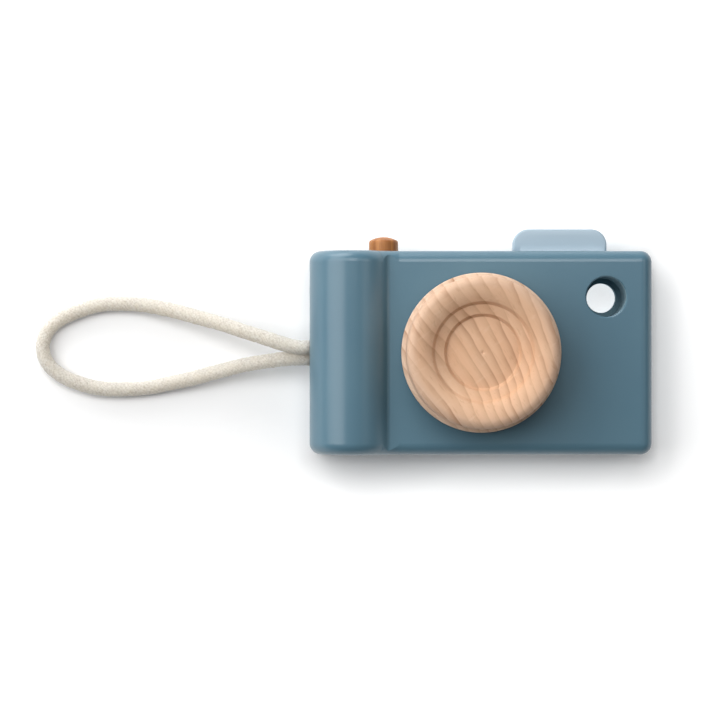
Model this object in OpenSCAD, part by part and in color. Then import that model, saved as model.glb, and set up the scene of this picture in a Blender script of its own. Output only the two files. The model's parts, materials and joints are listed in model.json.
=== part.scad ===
// Wooden toy camera with a turning lens, a sprung shutter button and a wrist cord.
// It lies on its back: X runs across it, Y runs up it, and Z comes out of its front.

/* [Body] */
// Width of the body across the front
body_w = 121; // [112:1:130]
// Height of the body from base to top
body_h = 72; // [66:0.5:80]
// Thickness of the block that makes the front and the sides
block_t = 22; // [21:0.5:26]
// Thickness of the panel that closes the back
panel_t = 5; // [4.5:0.5:8]
// Radius of the rounded outer edges
edge_r = 4; // [3:0.1:4.8]

/* [Grip] */
// Radius of the round grip column
grip_r = 14.8; // [13:0.1:15.5]
// Height of the grip above the front face
grip_rise = 7.5; // [5:0.5:9]
// Radius of the hollow between the grip and the front face
valley_r = 2; // [1:0.25:3]
// Radius at which the hollow flares out over its two ends
flare_r = 10; // [8:0.5:14]

/* [Viewfinder] */
// Diameter of the hole through the front block
finder_d = 14.2; // [10:0.2:16]
// Diameter of the smaller sight hole in the back panel
sight_d = 10.6; // [6:0.2:11.2]
// Distance from the right side to the middle of the viewfinder
finder_from_side = 16.3; // [13:0.1:22]
// Distance from the top to the middle of the viewfinder
finder_from_top = 16.3; // [15:0.1:22]
// Width of the broken edge round each hole
hole_edge = 0.4; // [0.2:0.1:0.8]

/* [Lens] */
// Diameter of the lens over its lip
lens_d = 56.2; // [48:0.2:58]
// Height of the lens from its back to its crest
lens_h = 21.5; // [20:0.5:25]
// Height of the lip at the foot of the lens
lip_h = 3; // [2:0.5:6]
// Width of the lip outside the bead
lip_ledge = 1.6; // [1:0.2:3]
// Radius of the bead's outer face
bead_outer_r = 2.9; // [2:0.1:5]
// Radius of the bead's inner slope
bead_inner_r = 9.5; // [8:0.25:12]
// Diameter of the dish inside the bead
dish_d = 35.4; // [33:0.2:36]
// Height of the wall below the bead
dish_step = 1.9; // [1:0.1:2.5]
// Width of the sloping ledge in the dish
ledge_w = 3.3; // [2:0.1:4]
// Fall of the sloping ledge
ledge_fall = 1.1; // [0.5:0.1:1.5]
// Height of the wall between the ledge and the floor
floor_step = 1.7; // [1:0.1:2]
// Rise of the floor's middle above its edge
floor_dome = 0.7; // [0.3:0.1:1.2]

/* [Lens spindle] */
// Diameter of the spindle that the lens turns on
spindle_d = 10; // [8:0.5:12]
// Depth of the socket in the back of the lens
socket_depth = 9; // [6:0.5:11]
// Thickness of the felt washer under the lens
felt_t = 1; // [0.6:0.1:2]
// Diameter of the felt washer
felt_d = 40; // [24:1:46]
// Diameter of the steel washer behind the spindle
washer_d = 17; // [14:0.5:20]
// Thickness of the steel washer
washer_t = 1.2; // [0.8:0.1:1.6]
// Length of the bearing in the front block
bearing_l = 14; // [10:0.5:15]
// Diameter of the retaining screw
screw_d = 4; // [3:0.5:5]
// Length of the retaining screw under its head
screw_l = 15; // [10:1:18]

/* [Shutter button] */
// Diameter of the button's dowel
button_d = 10.4; // [8:0.2:12]
// Height of the button above the top of the body
button_rise = 5.3; // [4:0.1:8]
// Distance from the left side to the middle of the button
button_from_side = 26.3; // [25:0.1:32]
// How far the button goes in
button_travel = 3; // [1:0.5:3.5]
// Height of the dome on the button
button_dome = 1.5; // [0.4:0.1:1.8]
// Radius of the rounded edge of the button's head
button_edge_r = 2.4; // [1:0.1:3]
// Length of the hole that guides the button
guide_l = 12; // [8:0.5:13]
// Diameter of the pin across the button
pin_d = 3; // [2:0.5:4]
// Length of the pin across the button
pin_l = 15; // [13:0.5:16]

/* [Button spring] */
// Outside diameter of the spring
spring_d = 7; // [6:0.25:7.5]
// Diameter of the spring's wire
wire_d = 0.8; // [0.6:0.1:1]
// Number of turns in the spring
spring_turns = 5; // [4:1:5]

/* [Flash plate] */
// Width of the flash plate
flash_w = 33.4; // [24:0.1:36]
// Height of the flash plate above the top of the body
flash_rise = 8; // [5:0.1:14]
// Thickness of the flash plate
flash_t = 6; // [4:0.5:8]
// Depth of the slot that holds the flash plate
flash_tenon = 5; // [3:0.5:6]
// Radius of the plate's upper corners
flash_corner_r = 5.6; // [2:0.2:7]
// Distance from the right side to the middle of the flash plate
flash_from_side = 32; // [26:0.1:40]

/* [Wrist cord] */
// Diameter of the cord
cord_d = 5.1; // [4:0.1:5.2]
// Thickness of the left wall that the cord passes through
cord_wall = 5; // [4:0.5:6]
// Diameter of the knot
knot_d = 13; // [11:0.5:14]
// Length of the knot
knot_l = 11; // [9:0.5:12]

/* [Panel dowels] */
// Diameter of the dowels between block and panel
dowel_d = 6; // [4:0.5:7]
// Depth of each dowel in the block
dowel_in_block = 8; // [5:0.5:10]
// Depth of each dowel in the panel
dowel_in_panel = 3; // [2:0.25:3.5]
// Distance of each dowel from the two sides nearest to it
dowel_inset = 7; // [6.5:0.25:9]

/* [Hidden] */
$fn = 96;

// How far a cut runs past the face that it opens
overrun = 2;
// Glue room on each side of a fixed fit
glue_gap = 0.05;
// Running room on each side of the spindle and the button
running_gap = 0.09;
// Play along the lens's axis, at the felt and again at the steel washer
lens_play = 0.2;
// Room left at the end of a pin, a dowel or a spring
end_gap = 0.2;
// Room round the washer, the knot and the button in their pockets
pocket_gap = 1.5;
// Radius of the corners that the cutter leaves in a pocket
cutter_r = 2;
// Room round the cord in its hole
cord_play = 0.2;
// How far the hollow runs into the grip and the face that it meets
round_bite = 0.02;
// How far each flare stops short of the lines where it would run out to nothing
flare_trim = 1;

// Heights and places on the body
front_z = panel_t + block_t;
top_y = body_h / 2;
side_x = body_w / 2;
mid_z = front_z / 2;
finder_x = side_x - finder_from_side;
finder_y = top_y - finder_from_top;

// Axis of the grip, and the hollow that touches it and the front face
grip_x = grip_r - side_x;
grip_z = front_z + grip_rise - grip_r;
grip_axis = [grip_x, grip_z];
valley_up = front_z + valley_r - grip_z;
valley_out = sqrt(pow(grip_r + valley_r, 2) - pow(valley_up, 2));
valley_axis = grip_axis + [valley_out, valley_up];
face_touch = [valley_axis.x, front_z];
valley_end = top_y - edge_r;
flare_up = front_z + flare_r - grip_z;
flare_out = sqrt(pow(grip_r + flare_r, 2) - pow(flare_up, 2));
flare_axis = grip_axis + [flare_out, flare_up];

// Radii and heights of the lens's turned profile
lip_r = lens_d / 2;
lip_edge_r = lip_h / 4;
bead_r = lip_r - lip_ledge;
crest_r = bead_r - bead_outer_r;
dish_r = dish_d / 2;
wall_lean = dish_step / 2;
dish_z = lens_h - bead_inner_r + sqrt(pow(bead_inner_r, 2) - pow(crest_r - dish_r, 2));
ledge_outer = [dish_r - wall_lean, dish_z - dish_step];
ledge_inner = ledge_outer - [ledge_w, ledge_fall];
floor_edge = ledge_inner - [wall_lean, floor_step];
dome_r = (pow(floor_edge.x, 2) + pow(floor_dome, 2)) / (2 * floor_dome);
pip_r = 0.6;
pip_depth = 0.4;
lens_z = front_z + felt_t + lens_play;

// Spindle, its bearing and what holds it from behind
bearing_z = front_z - bearing_l;
spindle_low = bearing_z - lens_play;
spindle_high = lens_z + socket_depth - end_gap;
bearing_r = spindle_d / 2 + running_gap;
screw_head_d = 2 * screw_d;
screw_head_h = 0.6 * screw_d;
screw_tip = screw_d;
driver_w = screw_d / 4;
driver_l = screw_d;
driver_depth = screw_head_h / 2;

// Button, pin and spring, counted down from the top
spring_seat = 2;
pin_below = 1.5;
button_x = button_from_side - side_x;
guide_end = top_y - guide_l;
pin_y = guide_end - end_gap - pin_d / 2;
button_low = pin_y - pin_d / 2 - spring_seat - pin_below;
button_top = top_y + button_rise;
button_dome_r = (pow(button_d / 2, 2) + pow(button_dome, 2)) / (2 * button_dome);
seat_d = spring_d + pocket_gap / 2;
pocket_floor = button_low - button_travel - pocket_gap;
spring_low = pocket_floor - spring_seat + end_gap;
spring_high = button_low + spring_seat - end_gap;
rings_per_turn = 8;
wire_sides = 6;
pocket_front = mid_z + pin_l / 2 + end_gap;
button_pocket = [button_d + 2 * pocket_gap, guide_end - pocket_floor];

// Flash plate
flash_x = side_x - flash_from_side;
flash_low = top_y - flash_tenon + glue_gap;
flash_high = top_y + flash_rise;

// Middle line of the cord's loop, from the hole in the left side round and back to it
cord_route = [
    [-60.5, 1.9, 15], [-64.5, 1.9, 15], [-70.5, 3.4, 14.6], [-78.5, 5.9, 13.4], [-86.5, 8.5, 11.6],
    [-94.5, 11, 9.4], [-102.5, 13.2, 7.2], [-110.5, 15.3, 5.2], [-118.5, 16.9, 3.7], [-126.5, 17.7, 2.8],
    [-133.5, 17.6, 2.7], [-139.5, 16.7, 2.7], [-145.5, 14.6, 2.7], [-150.9, 12, 2.7], [-155.3, 7.9, 2.7],
    [-157, 2.1, 2.7], [-155.3, -3.7, 2.7], [-150.9, -7.8, 2.7], [-145.5, -10.4, 2.7], [-139.5, -12.3, 2.7],
    [-132.5, -13.1, 2.7], [-125.5, -13.1, 2.7], [-118.5, -12.4, 2.8],
    [-110.5, -10.9, 3.2], [-102.5, -9.1, 4.2], [-94.5, -7, 5.7], [-86.5, -4.9, 7.5], [-78.5, -3.4, 9.5],
    [-70.5, -2.3, 11.2], [-64.5, -1.9, 11.9], [-60.5, -1.9, 12]];
cord_sides = 10;
cord_start = cord_route[0];
cord_finish = cord_route[len(cord_route) - 1];
cord_exit = (cord_start + cord_finish) / 2;
cord_hole_d = 2 * (cord_d + cord_play);
knot_pocket_x = cord_wall - side_x;
knot_pocket = [knot_l + 2 * pocket_gap, knot_d + 2 * pocket_gap];
knot_pocket_front = cord_exit.z + knot_d / 2 + pocket_gap;
knot_x = knot_pocket_x + end_gap;

// Finish colours
body_blue = "#62808f";
plate_blue = "#a9becb";
natural_wood = "#dcb393";
stained_wood = "#a8714a";
cotton = "#e6e0d3";
felt_grey = "#6f7377";
steel = "#a8abae";

// Box between two corners with every edge and corner rounded alike
module rounded_box(low, high, r) {
    in_low = [for (value = low) value + r];
    in_high = [for (value = high) value - r];
    in_size = in_high - in_low;
    size = high - low;
    translate([low.x, in_low.y, in_low.z]) cube([size.x, in_size.y, in_size.z]);
    translate([in_low.x, low.y, in_low.z]) cube([in_size.x, size.y, in_size.z]);
    translate([in_low.x, in_low.y, low.z]) cube([in_size.x, in_size.y, size.z]);
    for (x = [in_low.x, in_high.x], y = [in_low.y, in_high.y]) {
        translate([x, y, in_low.z]) cylinder(r = r, h = in_size.z);
        for (z = [in_low.z, in_high.z]) translate([x, y, z]) sphere(r);
    }
    for (z = [in_low.z, in_high.z]) {
        for (x = [in_low.x, in_high.x])
            translate([x, in_low.y, z]) rotate([-90, 0, 0]) cylinder(r = r, h = in_size.y);
        for (y = [in_low.y, in_high.y])
            translate([in_low.x, y, z]) rotate([0, 90, 0]) cylinder(r = r, h = in_size.x);
    }
}

// Flat rectangle about the origin with round corners
module rounded_rectangle(size, r) {
    square([size.x - 2 * r, size.y], center = true);
    square([size.x, size.y - 2 * r], center = true);
    for (x = [-1, 1], y = [-1, 1])
        translate([x * (size.x / 2 - r), y * (size.y / 2 - r)]) circle(r);
}

// Tube of flat sides round a path, with a ring at each point
module tube(path, radius, sides, up) {
    last = len(path) - 1;
    points = [for (i = [0 : last])
        let (step = path[min(i + 1, last)] - path[max(i - 1, 0)],
             across = cross(step, up) / norm(cross(step, up)),
             over = cross(across, step) / norm(step))
        for (k = [0 : sides - 1])
            path[i] + radius * (across * cos(360 * k / sides) + over * sin(360 * k / sides))];
    walls = [for (i = [0 : last - 1], k = [0 : sides - 1])
        let (a = i * sides + k, b = i * sides + (k + 1) % sides)
        each [[a, b, b + sides], [a, b + sides, a + sides]]];
    caps = [for (k = [1 : sides - 2])
        each [[0, k + 1, k], [last * sides, last * sides + k, last * sides + k + 1]]];
    polyhedron(points = points, faces = [for (face = concat(walls, caps)) [face[2], face[1], face[0]]]);
}

// Section of the corner beside the grip that is filled up to the hollow
module valley_section() {
    difference() {
        polygon([grip_axis, valley_axis, face_touch, [face_touch.x, grip_z]]);
        translate(valley_axis) circle(valley_r + round_bite);
    }
}

// Section under the grip, the hollow and the face, out to where the flare ends
module hollow_section() {
    intersection() {
        polygon([grip_axis, flare_axis - flare_trim * [1, 3], [flare_axis.x - flare_trim, grip_z]]);
        union() {
            translate(grip_axis) circle(grip_r);
            translate(grip_axis) square([flare_out, front_z - grip_z]);
            valley_section();
        }
    }
}

// Strip beside the grip, drawn in over each rounded end by a flare that touches the grip and the face
module hollow_strip() {
    difference() {
        rotate([90, 0, 0]) linear_extrude(height = body_h, center = true) hollow_section();
        for (way = [-90, 90])
            translate([flare_axis.x, 0, flare_axis.y]) rotate([way, 0, 0]) rotate_extrude() difference() {
                translate([0, valley_end]) square([flare_r + edge_r, edge_r + overrun]);
                translate([flare_r + edge_r, valley_end]) circle(edge_r);
            }
    }
}

// Column with rounded ends that makes the grip
module grip_column() {
    translate([grip_x, -top_y, grip_z]) rotate([-90, 0, 0]) rotate_extrude() {
        square([grip_r - edge_r, body_h]);
        translate([0, edge_r]) square([grip_r, body_h - 2 * edge_r]);
        for (end = [edge_r, body_h - edge_r]) translate([grip_r - edge_r, end]) circle(edge_r);
    }
}

// Outside of the body, before it is split into block and panel
module body_outline() {
    difference() {
        rounded_box([-side_x, -top_y, 0], [side_x, top_y, front_z], edge_r);
        translate([-side_x - overrun, -top_y - overrun, grip_z])
            cube([grip_r + overrun, body_h + 2 * overrun, front_z]);
    }
    grip_column();
    hollow_strip();
}

// Places of the four dowels
module at_dowels() {
    for (x = [-1, 1], y = [-1, 1])
        translate([x * (side_x - dowel_inset), y * (top_y - dowel_inset), panel_t]) children();
}

// Block with the grip, milled from behind for the spindle, the button and the knot
module front_block() {
    color(body_blue) difference() {
        body_outline();
        translate([-side_x - overrun, -top_y - overrun, -overrun])
            cube([body_w + 2 * overrun, body_h + 2 * overrun, panel_t + overrun]);
        translate([finder_x, finder_y, -overrun]) cylinder(d = finder_d, h = front_z + 2 * overrun);
        translate([finder_x, finder_y, front_z - hole_edge])
            cylinder(d1 = finder_d, d2 = finder_d + 4 * hole_edge, h = 2 * hole_edge);
        translate([0, 0, -overrun]) cylinder(r = bearing_r, h = front_z + 2 * overrun);
        cylinder(d = washer_d + 2 * pocket_gap, h = bearing_z);
        translate([button_x, guide_end - overrun, mid_z]) rotate([-90, 0, 0])
            cylinder(d = button_d + 2 * running_gap, h = guide_l + 2 * overrun);
        translate([button_x, guide_end - button_pocket.y / 2, 0]) linear_extrude(height = pocket_front)
            rounded_rectangle(button_pocket, cutter_r);
        translate([button_x, pocket_floor - spring_seat, mid_z]) rotate([-90, 0, 0])
            cylinder(d = seat_d, h = spring_seat + overrun);
        translate([flash_x, top_y, mid_z])
            cube([flash_w + 2 * glue_gap, 2 * flash_tenon, flash_t + 2 * glue_gap], center = true);
        translate([-side_x - overrun, cord_exit.y, cord_exit.z]) rotate([0, 90, 0])
            cylinder(d = cord_hole_d, h = cord_wall + 2 * overrun);
        translate([knot_pocket_x + knot_pocket.x / 2, cord_exit.y, 0])
            linear_extrude(height = knot_pocket_front) rounded_rectangle(knot_pocket, cutter_r);
        at_dowels() translate([0, 0, -overrun])
            cylinder(d = dowel_d + 2 * glue_gap, h = dowel_in_block + overrun);
    }
}

// Panel that is glued on behind, with the sight hole and blind dowel holes
module back_panel() {
    color(body_blue) difference() {
        rounded_box([-side_x, -top_y, 0], [side_x, top_y, front_z], edge_r);
        translate([-side_x - overrun, -top_y - overrun, panel_t])
            cube([body_w + 2 * overrun, body_h + 2 * overrun, front_z]);
        translate([finder_x, finder_y, -overrun]) cylinder(d = sight_d, h = front_z);
        translate([finder_x, finder_y, -hole_edge])
            cylinder(d1 = sight_d + 4 * hole_edge, d2 = sight_d, h = 2 * hole_edge);
        at_dowels() translate([0, 0, -dowel_in_panel])
            cylinder(d = dowel_d + 2 * glue_gap, h = dowel_in_panel + overrun);
    }
}

// Four dowels that keep the panel in line with the block
module panel_dowels() {
    color(natural_wood) at_dowels() translate([0, 0, end_gap - dowel_in_panel])
        cylinder(d = dowel_d, h = dowel_in_panel + dowel_in_block - 2 * end_gap);
}

// Half section of the turned lens: lip, bead, dish with two walls, domed floor
module lens_section() {
    difference() {
        union() {
            square([lip_r, lip_h - lip_edge_r]);
            square([lip_r - lip_edge_r, lip_h]);
            translate([lip_r - lip_edge_r, lip_h - lip_edge_r]) circle(lip_edge_r);
            square([bead_r, lens_h - bead_outer_r]);
            translate([crest_r, lens_h - bead_outer_r]) circle(bead_outer_r);
            square([crest_r, lens_h - bead_inner_r]);
            intersection() {
                translate([crest_r, lens_h - bead_inner_r]) circle(bead_inner_r);
                square([crest_r, lens_h]);
            }
        }
        polygon([[0, floor_edge.y], floor_edge, ledge_inner, ledge_outer, [dish_r, dish_z],
            [dish_r, lens_h + overrun], [0, lens_h + overrun]]);
        square([spindle_d / 2 + glue_gap, socket_depth]);
    }
    difference() {
        intersection() {
            translate([0, floor_edge.y + floor_dome - dome_r]) circle(dome_r, $fn = 4 * $fn);
            translate([0, floor_edge.y - floor_dome]) square([floor_edge.x, 2 * floor_dome]);
        }
        polygon([[0, floor_edge.y + floor_dome - pip_depth], [pip_r, floor_edge.y + floor_dome],
            [0, floor_edge.y + floor_dome]]);
    }
}

// Turned lens that is glued to its spindle
module lens_knob() {
    color(natural_wood) translate([0, 0, lens_z]) rotate_extrude() lens_section();
}

// Dowel that the lens turns on, drilled for the screw
module lens_spindle() {
    color(natural_wood) translate([0, 0, spindle_low]) difference() {
        cylinder(d = spindle_d, h = spindle_high - spindle_low);
        translate([0, 0, -overrun])
            cylinder(d = screw_d + 2 * glue_gap, h = screw_l - washer_t + end_gap + overrun);
    }
}

// Felt that the lens turns against
module felt_washer() {
    color(felt_grey) translate([0, 0, front_z]) difference() {
        cylinder(d = felt_d, h = felt_t);
        translate([0, 0, -overrun]) cylinder(r = bearing_r + end_gap, h = felt_t + 2 * overrun);
    }
}

// Washer that keeps the spindle in its bearing
module spindle_washer() {
    color(steel) translate([0, 0, spindle_low - washer_t]) difference() {
        cylinder(d = washer_d, h = washer_t);
        translate([0, 0, -overrun]) cylinder(d = screw_d + 2 * end_gap, h = washer_t + 2 * overrun);
    }
}

// Round-headed wood screw with a cross recess and a point
module spindle_screw() {
    color(steel) translate([0, 0, spindle_low - washer_t]) {
        cylinder(d = screw_d, h = screw_l - screw_tip);
        translate([0, 0, screw_l - screw_tip]) cylinder(d1 = screw_d, d2 = 0, h = screw_tip);
        difference() {
            translate([0, 0, -screw_head_h])
                cylinder(d1 = screw_head_d - screw_head_h, d2 = screw_head_d, h = screw_head_h);
            for (turn = [0, 90]) rotate([0, 0, turn])
                translate([0, 0, -screw_head_h]) cube([driver_l, driver_w, 2 * driver_depth], center = true);
        }
    }
}

// Dowel with a rounded, domed head, cross-drilled for its pin
module shutter_button() {
    length = button_top - button_low;
    color(stained_wood) difference() {
        translate([button_x, button_low, mid_z]) rotate([-90, 0, 0]) rotate_extrude() intersection() {
            union() {
                square([button_d / 2, length - button_edge_r]);
                square([button_d / 2 - button_edge_r, length]);
                translate([button_d / 2 - button_edge_r, length - button_edge_r]) circle(button_edge_r);
            }
            union() {
                translate([0, length - button_dome_r]) circle(button_dome_r);
                square([button_d / 2, length - button_dome]);
            }
        }
        translate([button_x, pin_y, mid_z])
            cylinder(d = pin_d + 2 * glue_gap, h = 2 * button_d, center = true);
        translate([button_x, button_low - overrun, mid_z]) rotate([-90, 0, 0])
            cylinder(d = seat_d, h = spring_seat + overrun);
    }
}

// Pin that stops the button at the top of its travel
module button_pin() {
    color(steel) translate([button_x, pin_y, mid_z]) cylinder(d = pin_d, h = pin_l, center = true);
}

// Coil spring under the button
module button_spring() {
    coil_r = (spring_d - wire_d) / 2;
    rings = rings_per_turn * spring_turns;
    rise = spring_high - spring_low - wire_d;
    path = [for (i = [0 : rings])
        let (turn = 360 * spring_turns * i / rings, height = spring_low + wire_d / 2 + rise * i / rings)
        [button_x + coil_r * cos(turn), height, mid_z + coil_r * sin(turn)]];
    color(steel) tube(path, wire_d / 2, wire_sides, [0, 1, 0]);
}

// Plate with round upper corners, glued into its slot
module flash_plate() {
    color(plate_blue) translate([0, 0, mid_z]) linear_extrude(height = flash_t, center = true) {
        translate([flash_x - flash_w / 2, flash_low])
            square([flash_w, flash_high - flash_corner_r - flash_low]);
        translate([flash_x - flash_w / 2 + flash_corner_r, flash_low])
            square([flash_w - 2 * flash_corner_r, flash_high - flash_low]);
        for (side = [-1, 1])
            translate([flash_x + side * (flash_w / 2 - flash_corner_r), flash_high - flash_corner_r])
                circle(flash_corner_r);
    }
}

// Free loop of the wrist cord
module wrist_cord() {
    color(cotton) tube(cord_route, cord_d / 2, cord_sides, [0, 0, 1]);
}

// Knot behind the left wall, with the two cord ends that lead to it
module cord_knot() {
    knot_edge_r = knot_l / 4;
    color(cotton) {
        translate([knot_x, cord_exit.y, cord_exit.z]) rotate([0, 90, 0]) rotate_extrude() {
            square([knot_d / 2 - knot_edge_r, knot_l]);
            translate([0, knot_edge_r]) square([knot_d / 2, knot_l - 2 * knot_edge_r]);
            for (end = [knot_edge_r, knot_l - knot_edge_r])
                translate([knot_d / 2 - knot_edge_r, end]) circle(knot_edge_r);
        }
        for (strand = [cord_start, cord_finish])
            translate(strand) rotate([0, 90, 0]) cylinder(d = cord_d, h = knot_x + knot_edge_r - strand.x);
    }
}

front_block();
back_panel();
panel_dowels();
lens_knob();
lens_spindle();
felt_washer();
spindle_washer();
spindle_screw();
shutter_button();
button_pin();
button_spring();
flash_plate();
wrist_cord();
cord_knot();
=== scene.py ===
import json

import bmesh
import bpy
import numpy as np
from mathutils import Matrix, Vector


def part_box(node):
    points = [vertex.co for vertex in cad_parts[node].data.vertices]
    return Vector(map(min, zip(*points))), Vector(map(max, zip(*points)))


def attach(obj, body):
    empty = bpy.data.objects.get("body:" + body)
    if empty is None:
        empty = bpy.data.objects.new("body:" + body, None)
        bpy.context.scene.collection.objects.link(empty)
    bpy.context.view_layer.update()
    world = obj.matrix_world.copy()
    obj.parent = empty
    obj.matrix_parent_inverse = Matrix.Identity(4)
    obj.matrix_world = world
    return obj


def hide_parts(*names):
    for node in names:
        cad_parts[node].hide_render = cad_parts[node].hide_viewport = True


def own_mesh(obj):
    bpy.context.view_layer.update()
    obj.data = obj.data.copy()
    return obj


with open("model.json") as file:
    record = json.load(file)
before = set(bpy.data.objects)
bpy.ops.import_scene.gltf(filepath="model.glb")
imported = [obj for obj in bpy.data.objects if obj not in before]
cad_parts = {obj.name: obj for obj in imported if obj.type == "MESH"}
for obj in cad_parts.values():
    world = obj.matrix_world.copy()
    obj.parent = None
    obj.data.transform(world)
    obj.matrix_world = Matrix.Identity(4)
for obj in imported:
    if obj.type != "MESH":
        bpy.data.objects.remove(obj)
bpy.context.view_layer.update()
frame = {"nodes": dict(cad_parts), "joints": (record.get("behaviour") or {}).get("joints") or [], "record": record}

# Camera
# It looks straight down on the front of the toy, which lies on its back.
# The lens gives the front face the photograph's scale, about 0.35 mm to a pixel.
MM = 0.001
photo_px = 720
sensor_mm = 36.0
focal_px = 2839.0
view_x = -42.61 * MM
view_y = -2.58 * MM
view_height = 1000 * MM
view_reach = 20.0
joints = {joint["name"]: joint for joint in frame["joints"]}
front_z = joints["lens_turn"]["pos_m"][2]

scene = bpy.context.scene
view_data = bpy.data.cameras.new("view")
view_data.sensor_width = sensor_mm
view_data.lens = focal_px / photo_px * sensor_mm
view_data.clip_end = view_reach
view = bpy.data.objects.new("view", view_data)
view.location = (view_x, view_y, front_z + view_height)
scene.collection.objects.link(view)
scene.camera = view

# Wrist cord
# A loop of soft cotton cord, braided from twenty yarns, that leaves the grip's side by one hole.
# It rises out of the hole, falls to the surface and lies there in a long loop.
cord_d = 5.3 * MM
cord_route = MM * np.array([
    [-60.5, 1.9, 15], [-64.5, 1.9, 15], [-70.5, 3.4, 14.6], [-78.5, 5.9, 13.4], [-86.5, 8.5, 11.6],
    [-94.5, 11, 9.4], [-102.5, 13.2, 7.2], [-110.5, 15.3, 5.2], [-118.5, 16.9, 3.7], [-126.5, 17.7, 2.8],
    [-133.5, 17.6, 2.7], [-139.5, 16.7, 2.7], [-145.5, 14.6, 2.7], [-150.9, 12, 2.7], [-155.3, 7.9, 2.7],
    [-157, 2.1, 2.7], [-155.3, -3.7, 2.7], [-150.9, -7.8, 2.7], [-145.5, -10.4, 2.7], [-139.5, -12.3, 2.7],
    [-132.5, -13.1, 2.7], [-125.5, -13.1, 2.7], [-118.5, -12.4, 2.8],
    [-110.5, -10.9, 3.2], [-102.5, -9.1, 4.2], [-94.5, -7, 5.7], [-86.5, -4.9, 7.5], [-78.5, -3.4, 9.5],
    [-70.5, -2.3, 11.2], [-64.5, -1.9, 11.9], [-60.5, -1.9, 12]])
cord_length = 0.2127
yarns_each_way = 10
yarn_step = 1.6 * MM
yarn_relief = 0.22 * MM
yarn_wave_share = 0.55
yarn_gap_height = -0.2
yarn_wander = 0.2
slow_wander_run = 1.9 * MM
quick_wander_run = 0.7 * MM
soft_swell = 0.04 * MM
rings_per_mm = 6
sides_per_yarn = 7
fine_cuts = 12


def spans(line):
    """Distance from each point of a line to the next."""
    return np.linalg.norm(np.diff(line, axis=0), axis=1)


def run_along(line):
    """Distance along a line to each of its points: the spans before it, added up."""
    return np.concatenate([[0], np.cumsum(spans(line))])


def unit(vectors):
    """Vectors divided by their lengths."""
    return vectors / np.linalg.norm(vectors, axis=1, keepdims=True)


def smooth_line(points, count):
    """Natural cubic spline through the points, by distance along them, cut into evenly spaced places."""
    steps = spans(points)
    knots = run_along(points)
    size = len(points)
    system = np.eye(size)
    bends = np.zeros_like(points)
    inner = np.arange(1, size - 1)
    system[inner, inner - 1] = steps[:-1]
    system[inner, inner] = 2 * (steps[:-1] + steps[1:])
    system[inner, inner + 1] = steps[1:]
    slopes = np.diff(points, axis=0) / steps[:, None]
    bends[1:-1] = 6 * np.diff(slopes, axis=0)
    bends = np.linalg.solve(system, bends)
    places = np.linspace(0, knots[-1], fine_cuts * count)
    span = np.clip(np.searchsorted(knots, places, side="right") - 1, 0, size - 2)
    width = steps[span][:, None]
    after = ((places - knots[span])[:, None]) / width
    before = 1 - after
    line = before * points[span] + after * points[span + 1]
    line += width ** 2 / 6 * ((before ** 3 - before) * bends[span] + (after ** 3 - after) * bends[span + 1])
    run = run_along(line)
    even = np.linspace(0, run[-1], count)
    return np.stack([np.interp(even, run, line[:, axis]) for axis in range(3)], axis=1)


def grid_quads(rows, columns):
    """Corner numbers of the quads of a grid numbered row by row, whose last column meets its first."""
    row = np.arange(rows - 1)[:, None]
    column = np.arange(columns)[None, :]
    right = (column + 1) % columns
    first = row * columns
    corners = [first + column, first + right, first + columns + right, first + columns + column]
    return np.stack(np.broadcast_arrays(*corners), axis=-1).reshape(-1, 4)


def make_piece(name, points, faces, body):
    """Mesh object at the origin, smoothly shaded, that rides on a body."""
    mesh = bpy.data.meshes.new(name)
    mesh.from_pydata(np.asarray(points).tolist(), [], faces)
    mesh.polygons.foreach_set("use_smooth", np.ones(len(mesh.polygons), bool))
    piece = bpy.data.objects.new(name, mesh)
    scene.collection.objects.link(piece)
    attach(piece, body)
    return piece


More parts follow.
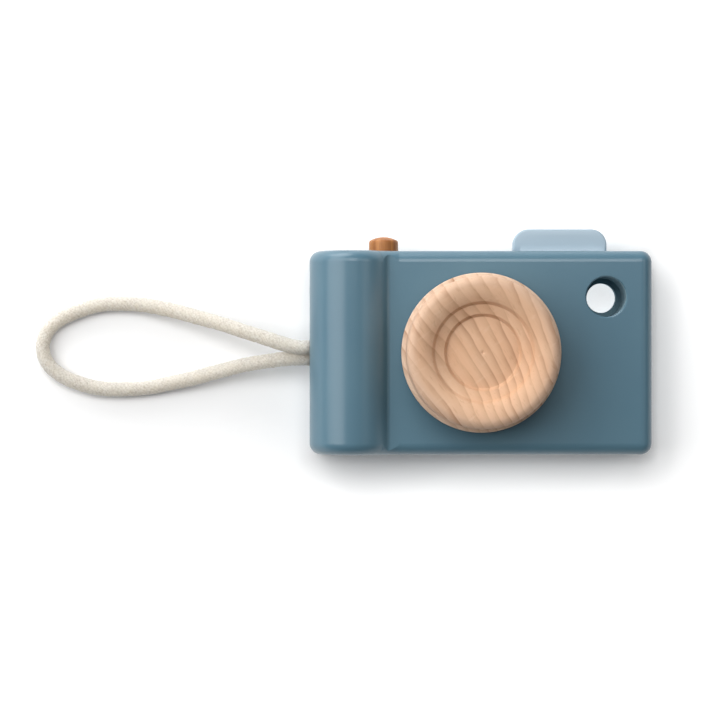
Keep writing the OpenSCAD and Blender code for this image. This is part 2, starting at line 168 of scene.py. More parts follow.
def braid(line, up):
    """Points, faces and yarn places of a braided tube round a line.

    Two sets of yarns wind left and right round the line. A yarn's height is a half circle across it
    plus a sine along it, which takes it over one crossing yarn and under the next, and the higher
    yarn of the two shows. The tube's radius is the cord's less the part of the relief left under that.
    Slow sines along the run and round the tube make the yarns wander and the soft cord swell and narrow,
    and it is flat where it would sink into the surface it lies on.
    """
    along = unit(np.gradient(line, axis=0))
    across = unit(np.cross(along, up))
    over = np.cross(across, along)
    sides = yarns_each_way * sides_per_yarn
    turn = np.linspace(0, 2 * np.pi, sides, endpoint=False)[None, :]
    run = run_along(line)[:, None]
    slow = run / slow_wander_run
    quick = run / quick_wander_run
    left_drift = np.sin(slow + 2 * turn) + np.sin(quick - 3 * turn + 1) + np.sin(0.8 * quick + 4 * turn)
    right_drift = np.sin(0.9 * slow - 2 * turn) + np.sin(0.9 * quick + 3 * turn) + np.sin(quick - 5 * turn)
    swell = np.sin(0.8 * slow + turn) + np.sin(0.3 * slow - 2 * turn) + np.sin(quick + 3 * turn)
    left = yarns_each_way * turn / (2 * np.pi) + run / yarn_step + yarn_wander * left_drift
    right = yarns_each_way * turn / (2 * np.pi) - run / yarn_step + yarn_wander * right_drift

    def yarn(own, other, sign):
        """Height of one set of yarns, from its own winding number and that of the set it crosses."""
        number = np.floor(own)
        offset = own - number - 0.5
        wave = sign * np.sin(np.pi * other) * np.where(number % 2 == 0, 1, -1)
        return np.sqrt(1 - (2 * offset) ** 2) + yarn_wave_share * (wave - 1), offset

    left_height, left_offset = yarn(left, right, 1)
    right_height, right_offset = yarn(right, left, -1)
    on_top = left_height > right_height
    height = np.maximum(np.maximum(left_height, right_height), yarn_gap_height)
    radius = cord_d / 2 - yarn_relief * (1 - height) + soft_swell * swell
    ring = np.cos(turn)[..., None] * across[:, None] + np.sin(turn)[..., None] * over[:, None]
    points = (line[:, None] + radius[..., None] * ring).reshape(-1, 3)
    points = np.concatenate([points, line[:1], line[-1:]])
    points[:, 2] = np.maximum(points[:, 2], 0)
    faces = grid_quads(len(line), sides)[:, ::-1].tolist()
    last = (len(line) - 1) * sides
    step = np.arange(sides)
    following = (step + 1) % sides
    first_middle = np.full(sides, len(points) - 2)
    last_middle = np.full(sides, len(points) - 1)
    faces += np.stack([following, step, first_middle], axis=1).tolist()
    faces += np.stack([last + step, last + following, last_middle], axis=1).tolist()
    yarn_place = np.stack([np.where(on_top, left_offset, right_offset),
                           np.where(on_top, right, left), height], axis=-1).reshape(-1, 3)
    yarn_place = np.concatenate([yarn_place, np.zeros((2, 3))])
    return points, faces, yarn_place


def colour(red, green, blue):
    """Linear colour of a screen colour whose parts run from 0 to 255."""
    parts = np.array([red, green, blue]) / 255
    parts = np.where(parts <= 0.04045, parts / 12.92, ((parts + 0.055) / 1.055) ** 2.4)
    return (*parts.tolist(), 1.0)


def start_material(name):
    """New material, with its node tree and shader."""
    material = bpy.data.materials.new(name)
    material.use_nodes = True
    return material, material.node_tree, material.node_tree.nodes["Principled BSDF"]


def settle(shader, values):
    """Sets a shader's own sockets, each by its name."""
    for name, value in values.items():
        shader.inputs[name].default_value = value


def add(tree, kind, inputs, **settings):
    """New node; inputs gives each socket, by name or number, a value or another node's output."""
    made = tree.nodes.new("ShaderNode" + kind)
    for key, value in settings.items():
        setattr(made, key, value)
    for key, value in inputs.items():
        if isinstance(value, bpy.types.NodeSocket):
            tree.links.new(value, made.inputs[key])
        else:
            made.inputs[key].default_value = value
    return made


def object_place(tree):
    """Output of a point's place on its object, in metres."""
    return add(tree, "TexCoord", {}).outputs["Object"]


def sums(tree, operation, first, second=0.0, third=0.0):
    """Output of a Math node on up to three numbers or outputs."""
    return add(tree, "Math", {0: first, 1: second, 2: third}, operation=operation).outputs[0]


def mixed(tree, share, low, high):
    """Output of a colour mix from low to high."""
    return add(tree, "Mix", {0: share, 6: low, 7: high}, data_type="RGBA").outputs[2]


def noise(tree, place, scale, detail, stretch=(1, 1, 1)):
    """Output of a noise texture, from 0 to 1, on a place that is stretched."""
    moved = add(tree, "Mapping", {"Vector": place, "Scale": stretch})
    made = add(tree, "TexNoise", {"Vector": moved.outputs[0], "Scale": scale, "Detail": detail})
    return made.outputs["Fac"]


def ramp(tree, value, stops):
    """Output of a colour ramp through grey stops, each a place and a level."""
    made = add(tree, "ValToRGB", {0: value})
    elements = made.color_ramp.elements
    for number, (place, level) in enumerate(stops):
        stop = elements[number] if number < 2 else elements.new(place)
        stop.position = place
        stop.color = (level, level, level, 1)
    return made.outputs[0]


def bump(tree, shader, height, distance, strength):
    """Bump on a shader, of a height from 0 to 1 times a distance in metres."""
    made = add(tree, "Bump", {"Height": height, "Distance": distance, "Strength": strength})
    tree.links.new(made.outputs[0], shader.inputs["Normal"])


def cotton_material():
    """Undyed cotton: fibres run along each yarn, the gaps between yarns are painted a little darker as shade, and
    light soaks into the fuzz.
    """
    material, tree, shader = start_material("cotton_cord")
    yarn_place = add(tree, "Attribute", {}, attribute_name="yarn_place").outputs["Vector"]
    place = object_place(tree)
    height = add(tree, "SeparateXYZ", {0: yarn_place}).outputs[2]
    fibres = noise(tree, yarn_place, 9, 3, (1, 0.22, 0))
    lint = noise(tree, place, 1500, 4)
    drift = noise(tree, place, 620, 3)
    warm = noise(tree, place, 260, 2)
    # Painted shade: where a yarn lies low, in the gaps between yarns, the cotton is darker.
    depth = ramp(tree, height, [(-0.1, 0.0), (0.7, 1.0)])
    tone = mixed(tree, depth, colour(188, 177, 162), colour(230, 223, 212))
    tone = mixed(tree, sums(tree, "MULTIPLY", fibres, 0.3), tone, colour(208, 197, 182))
    tone = mixed(tree, ramp(tree, lint, [(0.45, 0.0), (0.64, 0.65)]), tone, colour(195, 183, 168))
    tone = mixed(tree, ramp(tree, drift, [(0.4, 0.0), (0.7, 0.4)]), tone, colour(211, 200, 187))
    tone = mixed(tree, ramp(tree, warm, [(0.4, 0.0), (0.65, 0.4)]), tone, colour(228, 218, 202))
    tree.links.new(tone, shader.inputs["Base Color"])
    settle(shader, {"Roughness": 0.95, "Specular IOR Level": 0.05, "Subsurface Weight": 1.0,
                    "Subsurface Radius": (1, 0.95, 0.9), "Subsurface Scale": 13 * MM})
    bump(tree, shader, sums(tree, "ADD", sums(tree, "ADD", fibres, lint), drift), 0.3 * MM, 1.0)
    return material


def dress_braid(piece, yarn_place):
    """Gives a braided piece its yarn places and the cotton material."""
    places = piece.data.attributes.new("yarn_place", "FLOAT_VECTOR", "POINT")
    places.data.foreach_set("vector", yarn_place.astype(np.float32).ravel())
    piece.data.materials.append(cotton)


cotton = cotton_material()
cord_line = smooth_line(cord_route, int(cord_length / MM * rings_per_mm))
cord_points, cord_faces, cord_yarns = braid(cord_line, (0, 0, 1))
cord = make_piece("braided_cord", cord_points, cord_faces, "camera")
dress_braid(cord, cord_yarns)
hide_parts("wrist_cord")

# Stopper knot
# The cord's two ends, led through the hole and wound into a barrel behind the wall of the grip.
# The barrel is wider than the hole, so the loop can't be pulled out.
knot_low, knot_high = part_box("cord_knot")
knot_length = 11 * MM
knot_turns = 1.3
knot_places = 60
strand_places = 4
knot_middle_y = (cord_route[0, 1] + cord_route[-1, 1]) / 2
knot_middle_z = (cord_route[0, 2] + cord_route[-1, 2]) / 2
knot_coil_r = (knot_high.y - knot_low.y) / 2 - cord_d / 2
knot_coil_low_x = knot_high.x - knot_length + cord_d / 2
knot_coil_high_x = knot_high.x - cord_d / 2
knot_turn = np.linspace(0, 2 * np.pi * knot_turns, knot_places)
knot_coil = np.stack([np.linspace(knot_coil_low_x, knot_coil_high_x, knot_places),
                      knot_middle_y + knot_coil_r * np.cos(knot_turn),
                      knot_middle_z + knot_coil_r * np.sin(knot_turn)], axis=1)
knot_strands = [(knot_coil, (1, 0, 0))]
for strand_end in (cord_route[0], cord_route[-1]):
    strand = np.repeat(strand_end[None], strand_places, axis=0)
    strand[:, 0] = np.linspace(strand_end[0], knot_coil_high_x, strand_places)
    knot_strands.append((strand, (0, 0, 1)))

knot_points = []
knot_faces = []
knot_yarns = []
for line, up in knot_strands:
    points, faces, yarn_place = braid(smooth_line(line, int(spans(line).sum() / MM * rings_per_mm)), up)
    first = sum(len(part) for part in knot_points)
    knot_points.append(points)
    knot_faces += [[corner + first for corner in face] for face in faces]
    knot_yarns.append(yarn_place)
knot = make_piece("stopper_knot", np.concatenate(knot_points), knot_faces, "camera")
dress_braid(knot, np.concatenate(knot_yarns))
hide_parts("cord_knot")

# Front block
# One piece of beech with the round grip column routed along its left side, milled out from behind.
# It is sanded, sprayed grey-blue and finished with a satin coat.
body_colour = colour(81, 115, 132)
body_drift_colour = colour(84, 118, 134)
bore_colour = colour(124, 154, 166)
satin_rough = 0.26
satin_drift = 0.08
bore_rough = 0.65
bore_margin = 0.02 * MM
mounts = {mount["name"]: mount for mount in frame["record"]["mounts"]}
bore_middle = (*mounts["finder_bore"]["pos_m"][:2], 0)
bore_r = mounts["finder_bore"]["dims"]["r_mm"] * MM + bore_margin


def flat_place(tree, place):
    """Output of a place with its height set to zero."""
    return add(tree, "Mapping", {"Vector": place, "Scale": (1, 1, 0)}).outputs[0]


def distance_to(tree, place, middle):
    """Output of the distance from a place to a middle."""
    return add(tree, "VectorMath", {0: place, 1: middle}, operation="DISTANCE").outputs["Value"]


def painted_wood(name, tone, drift_tone):
    """Satin sprayed paint: a slow drift of tone, orange peel, and a trace of the grain below it.

    Within the viewfinder's bore, the paint is paler and matt.
    """
    material, tree, shader = start_material(name)
    place = object_place(tree)
    drift = noise(tree, place, 28, 3)
    peel = noise(tree, place, 750, 2)
    grain = noise(tree, place, 220, 3, (0.06, 1, 1))
    # Inside the viewfinder's bore the paint is paler and rougher.
    in_bore = sums(tree, "LESS_THAN", distance_to(tree, flat_place(tree, place), bore_middle), bore_r)
    shade = mixed(tree, ramp(tree, drift, [(0.35, 0.0), (0.65, 1.0)]), tone, drift_tone)
    shade = mixed(tree, in_bore, shade, bore_colour)
    tree.links.new(shade, shader.inputs["Base Color"])
    gloss = sums(tree, "MULTIPLY_ADD", drift, satin_drift, satin_rough)
    gloss = sums(tree, "ADD", gloss, sums(tree, "MULTIPLY", in_bore, bore_rough))
    tree.links.new(gloss, shader.inputs["Roughness"])
    settle(shader, {"Specular IOR Level": 0.56})
    bump(tree, shader, sums(tree, "ADD", peel, sums(tree, "MULTIPLY", grain, 0.5)), 0.012 * MM, 0.6)
    return material


def paint_node(name, material):
    """Puts a material on a CAD node."""
    mesh = frame["nodes"][name].data
    mesh.materials.clear()
    mesh.materials.append(material)


body_paint = painted_wood("body_paint", body_colour, body_drift_colour)
paint_node("front_block", body_paint)

# Back panel
# A thin board glued over the milled pockets, with the small sight hole of the viewfinder.
# It is flush with the block and painted with it.
paint_node("back_panel", body_paint)

# Panel dowels
# Four short beech dowels, glued into blind holes.
# They keep the panel in line with the block while the glue sets.


def dowel_wood(name, light, dark, axis_stretch):
    """Plain dowel: fine pores and faint growth bands drawn out along its length."""
    material, tree, shader = start_material(name)
    place = object_place(tree)
    bands = noise(tree, place, 420, 3, axis_stretch)
    pores = noise(tree, place, 2600, 2, axis_stretch)
    tone = mixed(tree, ramp(tree, bands, [(0.35, 0.0), (0.7, 1.0)]), light, dark)
    tone = mixed(tree, ramp(tree, pores, [(0.56, 0.0), (0.72, 0.5)]), tone, dark)
    tree.links.new(tone, shader.inputs["Base Color"])
    settle(shader, {"Roughness": 0.48, "Specular IOR Level": 0.4})
    bump(tree, shader, pores, 0.02 * MM, 0.5)
    return material


beech_along_z = dowel_wood("beech_dowel", colour(222, 182, 150), colour(196, 150, 116), (1, 1, 0.06))
paint_node("panel_dowels", beech_along_z)

# Felt washer
# A ring of pressed grey felt with soft edges, cut from a sheet.
# It is glued to the block under the lens, so that wood doesn't rub on wood.
felt_low, felt_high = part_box("felt_washer")
felt_outer_r = (felt_high.x - felt_low.x) / 2
felt_inner_r = 5.3 * MM
felt_edge_r = 0.3 * MM
turns_round = 224
ease_places = 6
merge_gap = 0.002 * MM


def eased_profile(corners, radii):
    """Line of radius and height through the corners, each rounded by an arc that touches both sides.

    The arc's middle lies on the corner's half angle. Its ends lie radius / tan(half angle) from the corner.
    """
    corners = np.asarray(corners, float)
    line = [corners[:1]]
    share = np.linspace(0, 1, ease_places)[:, None]
    for before, corner, after, radius in zip(corners[:-2], corners[1:-1], corners[2:], radii):
        back = (before - corner) / np.linalg.norm(before - corner)
        ahead = (after - corner) / np.linalg.norm(after - corner)
        half = np.arccos(np.clip(back @ ahead, -1, 1)) / 2
        middle = corner + (back + ahead) / np.linalg.norm(back + ahead) * radius / np.sin(half)
        start = corner + back * radius / np.tan(half) - middle
        end = corner + ahead * radius / np.tan(half) - middle
        sweep = np.pi - 2 * half
        curve = (np.sin((1 - share) * sweep) * start + np.sin(share * sweep) * end) / np.sin(sweep)
        line.append(middle + curve)
    line.append(corners[-1:])
    return np.concatenate(line)


def turned(profile):
    """Points and faces of a profile of radius and height spun round the upright axis; radius 0 is a pole."""
    turn = np.linspace(0, 2 * np.pi, turns_round, endpoint=False)[None, :]
    radius = profile[:, :1]
    height = np.broadcast_to(profile[:, 1:], (len(profile), turns_round))
    points = np.stack([radius * np.cos(turn), radius * np.sin(turn), height], axis=-1)
    return points.reshape(-1, 3), grid_quads(len(profile), turns_round).tolist()


def clean(piece):
    """Merges the points that meet at a pole or a seam and turns every face outwards."""
    shape = bmesh.new()
    shape.from_mesh(piece.data)
    bmesh.ops.remove_doubles(shape, verts=shape.verts, dist=merge_gap)
    bmesh.ops.recalc_face_normals(shape, faces=shape.faces)
    shape.to_mesh(piece.data)
    shape.free()


def felt_material():
    """Pressed felt: short tangled fibres in two greys, rough and without shine."""
    material, tree, shader = start_material("grey_felt")
    tangle = noise(tree, object_place(tree), 1400, 6)
    share = ramp(tree, tangle, [(0.35, 0.0), (0.65, 1.0)])
    tone = mixed(tree, share, colour(92, 96, 100), colour(132, 136, 140))
    tree.links.new(tone, shader.inputs["Base Color"])
    settle(shader, {"Roughness": 1.0, "Sheen Weight": 0.3})
    bump(tree, shader, tangle, 0.15 * MM, 1.0)
    return material


felt_corners = [(felt_inner_r, felt_low.z), (felt_outer_r, felt_low.z), (felt_outer_r, felt_high.z),
                (felt_inner_r, felt_high.z), (felt_inner_r, felt_low.z)]
felt_points, felt_faces = turned(eased_profile(felt_corners, [felt_edge_r] * 3))
felt = make_piece("felt_ring", felt_points, felt_faces, "camera")
clean(felt)
felt.data.materials.append(felt_material())
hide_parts("felt_washer")

# Lens
# A disc of pale beech turned on a lathe, with a lip, a round bead and a stepped dish, then sanded and oiled.
# It is glued to its spindle. The board was cut across the growth rings, so their edges run slantwise over it.
lens_low, lens_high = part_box("lens_knob")
lens_h = lens_high.z - lens_low.z
lip_r = lens_high.x
lip_w = 1.6 * MM
lip_h = 3 * MM
bead_r = lip_r - lip_w
bead_outer_r = 2.9 * MM
bead_inner_r = 9.5 * MM
bead_places = 16
crest_r = bead_r - bead_outer_r
dish_r = 17.7 * MM
dish_z = lens_h - bead_inner_r + np.sqrt(bead_inner_r ** 2 - (crest_r - dish_r) ** 2)
dish_edge_run = 1 * MM
dish_edge_rise = 0.7 * MM
dish_trim_degrees = 4
wall_drop = 1.9 * MM
ledge_r = 16.75 * MM
ledge_w = 3.3 * MM
ledge_drop = 1.1 * MM
floor_step = 0.95 * MM
floor_drop = 1.7 * MM
floor_dome = 0.7 * MM
floor_places = 14
step_eases = MM * np.array([0.25, 0.45, 0.35, 0.5])
foot_eases = MM * np.array([0.8, 0.75, 0.4, 0.3, 0.2])
pip_r = 0.6 * MM
pip_depth = 0.4 * MM
socket_r = 5.05 * MM
socket_depth = 9 * MM
band_slant_degrees = -34
band_spacing = 3.6 * MM
band_fan = 160 * MM
band_bow = 2.4
band_lean = 0.25
band_wander = 4 * MM
band_shiver = 1.1 * MM
first_band = 40.3


def arc(middle, radius, start, end, count):
    """Points of a circle about a middle, from a start angle to an end angle in degrees."""
    angle = np.radians(np.linspace(start, end, count))
    return np.stack([middle[0] + radius * np.cos(angle), middle[1] + radius * np.sin(angle)], axis=1)


def lens_profile():
    """Half section of the lens from the middle of its floor, over the bead and lip, to the socket behind.

    The floor's dome and the bead's two sides are arcs, and eased steps and the lip join them.
    """
    ledge_outer = np.array([ledge_r, dish_z - wall_drop])
    ledge_inner = ledge_outer - np.array([ledge_w, ledge_drop])
    floor_edge = ledge_inner - np.array([floor_step, floor_drop])
    dome_r = (floor_edge[0] ** 2 + floor_dome ** 2) / (2 * floor_dome)
    edge_angle = np.degrees(np.arccos(floor_edge[0] / dome_r))
    dome_middle = (0, floor_edge[1] + floor_dome - dome_r)
    dome = arc(dome_middle, dome_r, 90 - np.degrees(pip_r / dome_r), edge_angle, floor_places)
    steps = eased_profile([dome[-2], floor_edge, ledge_inner, ledge_outer, (dish_r, dish_z),
                           (dish_r + dish_edge_run, dish_z + dish_edge_rise)], step_eases)
    slope_start = 180 - np.degrees(np.arccos((crest_r - dish_r) / bead_inner_r)) - dish_trim_degrees
    inner = arc((crest_r, lens_h - bead_inner_r), bead_inner_r, slope_start, 90, bead_places)
    outer = arc((crest_r, lens_h - bead_outer_r), bead_outer_r, 90, 0, bead_places)[1:]
    foot = eased_profile([outer[-1], (bead_r, lip_h), (lip_r, lip_h), (lip_r, 0), (socket_r, 0),
                          (socket_r, socket_depth), (0, socket_depth)], foot_eases)
    pip = np.array([[0, dome[0, 1] - pip_depth], [pip_r / 2, dome[0, 1] - pip_depth / 2]])
    line = np.concatenate([pip, dome[:-1], steps[1:-1], inner, outer, foot[1:]])
    return line + [0, lens_low.z]


def beech_material():
    """Slant-cut beech: growth bands darken slowly and end at a soft line, with pale rays and short pores.

    A place's band number is its distance across the bands over their spacing. The bands fan out, wander a
    little and differ in depth from one to the next. Round the outside the wood is painted paler and greyer, a
    painted sheen for the light that the bead's outer slope reflects, and the lip is painted paler still, a painted
    highlight.
    """
    material, tree, shader = start_material("natural_wood")
    place = object_place(tree)
    slant = (0, 0, np.radians(band_slant_degrees))
    slant_place = add(tree, "Mapping", {"Vector": place, "Rotation": slant}).outputs[0]
    parts = add(tree, "SeparateXYZ", {0: slant_place}).outputs
    slow = noise(tree, place, 34, 2)
    wander = sums(tree, "MULTIPLY", sums(tree, "SUBTRACT", slow, 0.5), band_wander)
    quick = noise(tree, slant_place, 300, 3, (1, 0.35, 1))
    shiver = sums(tree, "MULTIPLY", sums(tree, "SUBTRACT", quick, 0.5), band_shiver)
    bow = sums(tree, "MULTIPLY", sums(tree, "MULTIPLY", parts[1], parts[1]), band_bow)
    across = sums(tree, "ADD", parts[0], sums(tree, "MULTIPLY", parts[2], band_lean))
    across = sums(tree, "ADD", sums(tree, "ADD", across, bow), sums(tree, "ADD", wander, shiver))
    spread = sums(tree, "ADD", sums(tree, "DIVIDE", parts[1], band_fan), 1.0)
    number = sums(tree, "DIVIDE", across, sums(tree, "MULTIPLY", spread, band_spacing))
    number = sums(tree, "ADD", number, first_band)
    share = sums(tree, "FRACT", number)
    whole = sums(tree, "FLOOR", number)
    strength = add(tree, "TexWhiteNoise", {"W": whole}, noise_dimensions="1D").outputs["Value"]
    band = ramp(tree, share, [(0.0, 0.05), (0.45, 0.25), (0.78, 0.7), (0.9, 1.0), (0.99, 0.1)])
    fading = ramp(tree, noise(tree, slant_place, 130, 2, (1, 0.4, 1)), [(0.35, 0.3), (0.65, 1.0)])
    depth = sums(tree, "MULTIPLY", band, sums(tree, "ADD", sums(tree, "MULTIPLY", strength, 0.5), 0.4))
    depth = sums(tree, "MULTIPLY", depth, fading)
    fibres = noise(tree, slant_place, 1100, 4, (1, 0.06, 1))
    patches = noise(tree, slant_place, 90, 3, (1, 0.5, 1))
    pores = ramp(tree, noise(tree, slant_place, 1300, 2, (1, 0.16, 1)), [(0.6, 0.0), (0.74, 1.0)])
    rays = ramp(tree, noise(tree, slant_place, 520, 2, (0.3, 1, 1)), [(0.6, 0.0), (0.75, 1.0)])
    reach = distance_to(tree, flat_place(tree, place), (0, 0, 0))
    reach_share = sums(tree, "DIVIDE", reach, lip_r)
    # Painted sheen: towards the outside the wood turns paler and greyer, standing for light reflected off the
    # bead's outer slope.
    painted_rim_sheen = ramp(tree, reach_share, [(0.6, 0.0), (0.8, 0.25), (0.88, 0.8), (0.96, 1.0)])
    # Painted highlight: the lip ring at the very outside is paler still.
    painted_lip_highlight = ramp(tree, reach_share, [(0.94, 0.0), (0.96, 1.0)])
    light = ramp(tree, patches, [(0.3, 0.0), (0.7, 1.0)])
    tone = mixed(tree, light, colour(220, 176, 141), colour(229, 192, 160))
    # Painted sheen on the outer bead.
    tone = mixed(tree, painted_rim_sheen, tone, colour(213, 183, 159))
    # Painted highlight on the lip.
    tone = mixed(tree, painted_lip_highlight, tone, colour(224, 199, 177))
    tone = mixed(tree, depth, tone, colour(152, 105, 73))
    tone = mixed(tree, sums(tree, "MULTIPLY", fibres, 0.25), tone, colour(190, 146, 114))
    tone = mixed(tree, sums(tree, "MULTIPLY", pores, 0.22), tone, colour(160, 112, 78))
    tone = mixed(tree, sums(tree, "MULTIPLY", rays, 0.2), tone, colour(232, 202, 174))
    tree.links.new(tone, shader.inputs["Base Color"])
    settle(shader, {"Roughness": 0.6, "Specular IOR Level": 0.2})
    bump(tree, shader, sums(tree, "SUBTRACT", fibres, sums(tree, "MULTIPLY", depth, 0.5)), 0.03 * MM, 0.5)
    return material


lens_points, lens_faces = turned(lens_profile())
lens = make_piece("turned_lens", lens_points, lens_faces, "lens")
clean(lens)
lens.data.materials.append(beech_material())
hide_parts("lens_knob")

# Lens spindle
# A beech dowel glued into the socket behind the lens.
# It turns in the block's bearing and carries the lens.
paint_node("lens_spindle", beech_along_z)

# Spindle washer and screw
# A zinc-plated steel washer and a round-headed wood screw, driven into the spindle's end.
# They hold the spindle in its bearing from behind.


def zinc_material():
    """Bright zinc plating: fine scratches and a mottled gloss."""
    material, tree, shader = start_material("plated_steel")
    place = object_place(tree)
    mottle = noise(tree, place, 900, 3)
    scratch = noise(tree, place, 3000, 2, (1, 0.1, 1))
    tone = mixed(tree, mottle, colour(176, 180, 184), colour(202, 205, 207))
    tree.links.new(tone, shader.inputs["Base Color"])
    tree.links.new(sums(tree, "MULTIPLY_ADD", scratch, 0.15, 0.22), shader.inputs["Roughness"])
    settle(shader, {"Metallic": 1.0})
    bump(tree, shader, scratch, 0.005 * MM, 0.4)
    return material


zinc = zinc_material()
paint_node("spindle_washer", zinc)
paint_node("spindle_screw", zinc)

# Shutter button
# A short dowel with a rounded head, stained brown.
# It slides in a hole in the top of the block.
stained = dowel_wood("stained_wood", colour(190, 127, 68), colour(137, 80, 36), (1, 0.06, 1))
paint_node("shutter_button", stained)

# Button pin
# A plated steel pin, pressed through the button.
# It stops the button at the top of its travel.
paint_node("button_pin", zinc)

# Button spring
# A coil of plated spring wire between the button and the floor of its pocket.
# It shortens as the button goes in.
spring_low, spring_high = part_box("button_spring")
wire_r = 0.4 * MM
spring_turns = 5
spring_sides = 12
spring_rings = 240
spring_x = (spring_low.x + spring_high.x) / 2
spring_z = (spring_low.z + spring_high.z) / 2
coil_r = (spring_high.z - spring_low.z) / 2 - wire_r


def coil_spring():
    """Round wire along a helix about an upright line: the wire's ring lies in the helix's normal plane."""
    turn = np.linspace(0, 2 * np.pi * spring_turns, spring_rings)
    height = np.linspace(spring_low.y + wire_r, spring_high.y - wire_r, spring_rings)
    line = np.stack([spring_x + coil_r * np.cos(turn), height, spring_z + coil_r * np.sin(turn)], axis=1)
    out = np.stack([np.cos(turn), np.zeros(spring_rings), np.sin(turn)], axis=1)
    side = np.cross(unit(np.gradient(line, axis=0)), out)
    angle = np.linspace(0, 2 * np.pi, spring_sides, endpoint=False)[None, :, None]
    points = line[:, None] + wire_r * (np.cos(angle) * out[:, None] + np.sin(angle) * side[:, None])
    faces = grid_quads(spring_rings, spring_sides).tolist()
    faces.append(list(range(spring_sides)))
    faces.append(list(range((spring_rings - 1) * spring_sides, spring_rings * spring_sides))[::-1])
    return points.reshape(-1, 3), faces


spring_points, spring_faces = coil_spring()
spring = make_piece("coil_spring", spring_points, spring_faces, "camera")
clean(spring)
spring.data.materials.append(zinc)
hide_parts("button_spring")
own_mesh(spring)

# Flash plate
# A thin board with round upper corners and eased edges, painted light blue.
# It is glued upright into a slot in the top of the block.
flash_low, flash_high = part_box("flash_plate")
flash_corner_r = 5.6 * MM
flash_corner_places = 24
flash_ease = 0.7 * MM
flash_ease_places = 7
flash_face_inset = 4 * flash_ease
flash_colour = colour(158, 177, 190)
flash_drift_colour = colour(161, 180, 193)


def eased_board():
    """Board with two round upper corners: its outline is drawn in by a quarter circle at each face.

    A point is the outline's point less its normal times the ease's depth there, at that depth's height.
    """
    left_middle = np.array([flash_low.x + flash_corner_r, flash_high.y - flash_corner_r])
    right_middle = np.array([flash_high.x - flash_corner_r, flash_high.y - flash_corner_r])
    left = arc(left_middle, flash_corner_r, 180, 90, flash_corner_places)
    right = arc(right_middle, flash_corner_r, 90, 0, flash_corner_places)
    outline = np.concatenate([[(flash_low.x, flash_low.y)], left, right, [(flash_high.x, flash_low.y)]])
    normals = np.concatenate([[(-1, 0)], (left - left_middle) / flash_corner_r,
                              (right - right_middle) / flash_corner_r, [(1, 0)]])
    angle = np.radians(np.linspace(0, 90, flash_ease_places))
    inset = flash_ease * (1 - np.cos(angle))
    rise = flash_ease * (1 - np.sin(angle))
    depth = np.concatenate([[flash_face_inset], inset[::-1], inset, [flash_face_inset]])
    height = np.concatenate([[flash_low.z], flash_low.z + rise[::-1], flash_high.z - rise, [flash_high.z]])
    flat = outline[None] - depth[:, None, None] * normals[None]
    points = np.concatenate([flat, np.broadcast_to(height[:, None, None], (*flat.shape[:2], 1))], axis=-1)
    count = len(outline)
    faces = grid_quads(len(depth), count).tolist()
    faces.append(list(range(count))[::-1])
    faces.append(list(range((len(depth) - 1) * count, len(depth) * count)))
    return points.reshape(-1, 3), faces


flash_points, flash_faces = eased_board()
flash = make_piece("flash_board", flash_points, flash_faces, "camera")
clean(flash)
flash.data.materials.append(painted_wood("plate_paint", flash_colour, flash_drift_colour))
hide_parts("flash_plate")

# Studio
# A white floor, a sky that is white along the horizon, and four softboxes: a large one at the left, two above
# and beyond the top of the toy and a weak one at the right. The floor glows under the viewfinder, away from
# the toy and its cord, which keeps their shadows short, and far out, which keeps it white in low views.
floor_half = 6.0
floor_white = 0.95
floor_glow = 0.4
shadow_reach = 25 * MM
far_glow = 0.6
far_reach = 1.5
loop_middle = (-105 * MM, -5 * MM, 0)
loop_reach = (140 * MM, 70 * MM, 2)
finder_glow = 0.62
finder_glow_r = 6.5 * MM
sky_fill = 0.1
lamp_gap = 1.1
# Each softbox's tilt from upright and turn round it in degrees, its width in metres and its power in watts
softboxes = {"key_softbox": (44, 158, 1.0, 10.1), "top_softbox": (21, 85, 0.42, 2.8),
             "back_softbox": (76, 112, 0.75, 8.3), "side_softbox": (40, 22, 0.42, 1.2)}


def seen_rays(tree):
    """Output that is 1 on rays that look, reflect or pass through, and 0 on rays that only carry light."""
    rays = add(tree, "LightPath", {}).outputs
    return sums(tree, "MAXIMUM", rays["Is Camera Ray"],
                sums(tree, "MAXIMUM", rays["Is Glossy Ray"], rays["Is Transmission Ray"]))


def vectors(tree, operation, first, second=(0, 0, 0)):
    """Output of a Vector Math node on two vectors or outputs."""
    return add(tree, "VectorMath", {0: first, 1: second}, operation=operation).outputs["Vector"]


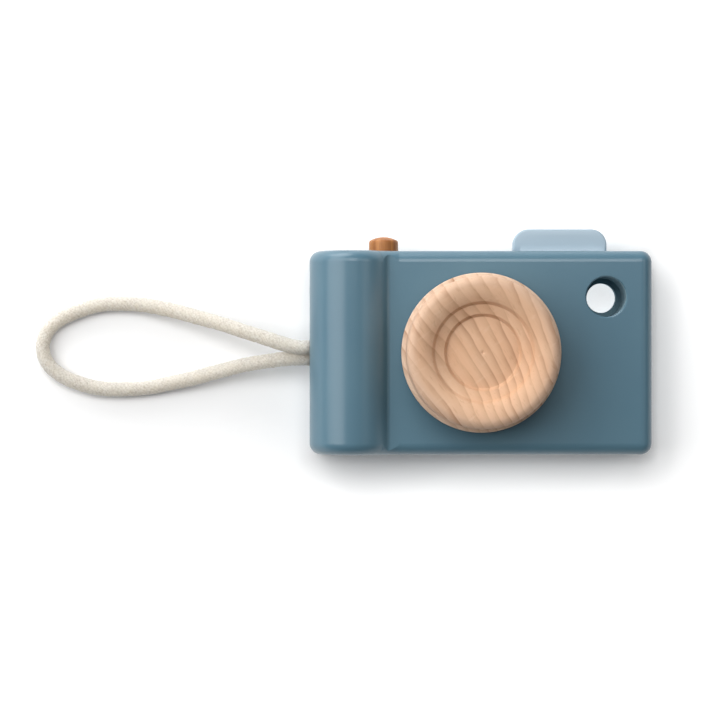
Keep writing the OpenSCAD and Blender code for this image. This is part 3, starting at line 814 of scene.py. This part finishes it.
def floor_material():
    """White floor with a glow that grows with the distance from the block, the cord's loop and the toy.

    The distance from the block is how far a place lies outside its box. The distance from the loop is
    taken in shares of an oval about it. Only the disc under the viewfinder glows for every ray.
    """
    material, tree, shader = start_material("white_floor")
    settle(shader, {"Base Color": (floor_white, floor_white, floor_white, 1), "Roughness": 1.0,
                    "Specular IOR Level": 0.0, "Emission Color": (1, 1, 1, 1)})
    place = object_place(tree)
    under_finder = sums(tree, "LESS_THAN", distance_to(tree, place, bore_middle), finder_glow_r)
    block_low, block_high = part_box("front_block")
    block_middle = tuple((block_low + block_high) / 2)
    block_half = tuple((block_high - block_low) / 2)
    from_middle = vectors(tree, "ABSOLUTE", vectors(tree, "SUBTRACT", place, block_middle))
    outside = vectors(tree, "MAXIMUM", vectors(tree, "SUBTRACT", from_middle, block_half))
    gap = distance_to(tree, outside, (0, 0, 0))
    off_block = ramp(tree, sums(tree, "DIVIDE", gap, shadow_reach),
                     [(0.0, 0.0), (0.12, 0.02), (0.18, 0.12), (0.28, 0.68), (0.6, 1.0)])
    from_loop = vectors(tree, "DIVIDE", vectors(tree, "SUBTRACT", place, loop_middle), loop_reach)
    off_loop = ramp(tree, distance_to(tree, from_loop, (0, 0, 0)), [(0.3, 0.1), (0.45, 0.22), (0.9, 1.0)])
    far_share = sums(tree, "DIVIDE", distance_to(tree, place, (0, 0, 0)), far_reach)
    far = ramp(tree, far_share, [(0.2, 0.0), (1.0, 1.0)])
    glow = sums(tree, "MULTIPLY", sums(tree, "MULTIPLY", off_block, off_loop), floor_glow)
    glow = sums(tree, "ADD", glow, sums(tree, "MULTIPLY", far, far_glow))
    glow = sums(tree, "MULTIPLY", seen_rays(tree), glow)
    glow = sums(tree, "ADD", glow, sums(tree, "MULTIPLY", under_finder, finder_glow))
    tree.links.new(glow, shader.inputs["Emission Strength"])
    return material


def studio_world():
    """Sky that is white along the horizon on seen rays, and a weak white fill elsewhere."""
    world = bpy.data.worlds.new("studio")
    world.use_nodes = True
    tree = world.node_tree
    rise = add(tree, "SeparateXYZ", {0: add(tree, "TexCoord", {}).outputs["Generated"]}).outputs[2]
    horizon = sums(tree, "MULTIPLY", seen_rays(tree), ramp(tree, rise, [(0.1, 1.0), (0.3, 0.0)]))
    level = sums(tree, "MULTIPLY_ADD", horizon, 1 - sky_fill, sky_fill)
    background = tree.nodes["Background"]
    tree.links.new(level, background.inputs["Strength"])
    settle(background, {"Color": (1, 1, 1, 1)})
    return world


scene.view_settings.view_transform = "Standard"
floor_corners = floor_half * np.array([[-1, -1, 0], [1, -1, 0], [1, 1, 0], [-1, 1, 0]])
floor_mesh = bpy.data.meshes.new("floor")
floor_mesh.from_pydata(floor_corners.tolist(), [], [[0, 1, 2, 3]])
floor_mesh.materials.append(floor_material())
floor = bpy.data.objects.new("floor", floor_mesh)
scene.collection.objects.link(floor)
scene.world = studio_world()

for name, (tilt, turn, width, watts) in softboxes.items():
    lamp_data = bpy.data.lights.new(name, "AREA")
    lamp_data.shape = "SQUARE"
    lamp_data.size = width
    lamp_data.energy = watts
    lamp = bpy.data.objects.new(name, lamp_data)
    lean, heading = np.radians([tilt, turn])
    sideways = lamp_gap * np.sin(lean)
    lamp.location = (sideways * np.cos(heading), sideways * np.sin(heading), lamp_gap * np.cos(lean))
    lamp.rotation_mode = "QUATERNION"
    lamp.rotation_quaternion = lamp.location.to_track_quat("Z", "Y")
    scene.collection.objects.link(lamp)
